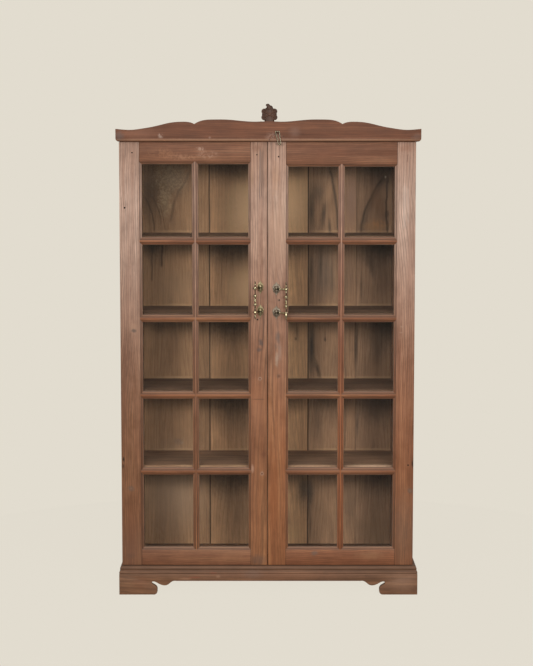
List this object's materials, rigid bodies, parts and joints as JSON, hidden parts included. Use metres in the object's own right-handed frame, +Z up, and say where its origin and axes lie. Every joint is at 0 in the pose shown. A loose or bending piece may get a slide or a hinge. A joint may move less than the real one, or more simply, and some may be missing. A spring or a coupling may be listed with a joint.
{
  "type": "glass cabinet",
  "caption": "Tall free-standing teak cabinet with a pair of glazed doors, inner shelves, a scrolled cornice with a flower finial and a footed base.",
  "frame": {"origin": "on the floor, under the middle of the cabinet's bounding box with the handles at rest", "axes": "+X to the right as seen from the front, +Y to the back, +Z up; the doors face -Y"},
  "size_m": [1.221, 0.4752, 1.9952],
  "materials": {
    "teak": "old waxed teak",
    "teak_inside": "dry unpolished teak",
    "glass": "clear window glass",
    "brass": "worn brass",
    "aged_brass": "dull brass",
    "iron": "dark iron",
    "wire": "bare steel wire"
  },
  "bodies": {
    "carcass": {"front_left_post": "teak", "front_right_post": "teak", "rear_left_post": "teak", "rear_right_post": "teak", "left_side_rails": "teak", "right_side_rails": "teak", "left_side_panels": "teak", "right_side_panels": "teak", "front_rails": "teak", "rear_rail": "teak_inside", "bottom_board": "teak_inside", "top_board": "teak", "shelf_1": "teak_inside", "shelf_2": "teak_inside", "shelf_3": "teak_inside", "shelf_4": "teak_inside", "shelf_cleats": "teak_inside", "back_board_1": "teak_inside", "back_board_2": "teak_inside", "back_board_3": "teak_inside", "back_board_4": "teak_inside", "back_board_5": "teak_inside", "cornice_front": "teak", "cornice_returns": "teak", "finial": "teak", "base_front": "teak", "base_left": "teak", "base_right": "teak", "base_rear": "teak", "base_corner_blocks": "teak", "hasp_staple": "iron"},
    "left_door": {"left_outer_stile": "teak", "left_inner_stile": "teak", "left_top_rail": "teak", "left_bottom_rail": "teak", "left_vertical_bar": "teak", "left_cross_bars": "teak", "left_panes": "glass", "left_glazing_beads": "teak", "left_pivots": "iron", "left_handle_plates": "brass", "left_handle_pins": "brass"},
    "right_door": {"right_outer_stile": "teak", "right_inner_stile": "teak", "right_top_rail": "teak", "right_bottom_rail": "teak", "right_vertical_bar": "teak", "right_cross_bars": "teak", "right_panes": "glass", "right_glazing_beads": "teak", "right_pivots": "iron", "right_handle_plates": "aged_brass", "right_handle_pins": "brass", "hasp_eye": "wire"},
    "left_handle": {"left_handle_bar": "brass"},
    "right_handle": {"right_handle_bar": "brass"},
    "hasp": {"hasp": "wire"}
  },
  "joints": [
    {"name": "left_door_hinge", "type": "hinge", "parent": "carcass", "child": "left_door", "pos_m": [-0.5855, -0.16638, 0.98], "axis": [0, 0, -1], "range_deg": [0, 95]},
    {"name": "right_door_hinge", "type": "hinge", "parent": "carcass", "child": "right_door", "pos_m": [0.5785, -0.16638, 0.98], "axis": [0, 0, 1], "range_deg": [0, 95]},
    {"name": "left_handle_swing", "type": "hinge", "parent": "left_door", "child": "left_handle", "pos_m": [-0.0325, -0.19338, 1.2125], "axis": [0, 0, -1], "range_deg": [-65, 66]},
    {"name": "right_handle_swing", "type": "hinge", "parent": "right_door", "child": "right_handle", "pos_m": [0.0325, -0.19338, 1.207], "axis": [0, 0, 1], "range_deg": [-104, 27]},
    {"name": "hasp_swing", "type": "hinge", "parent": "right_door", "child": "hasp", "pos_m": [0.045, -0.20138, 1.834], "axis": [1, 0, 0], "range_deg": [0, 180]}
  ]
}
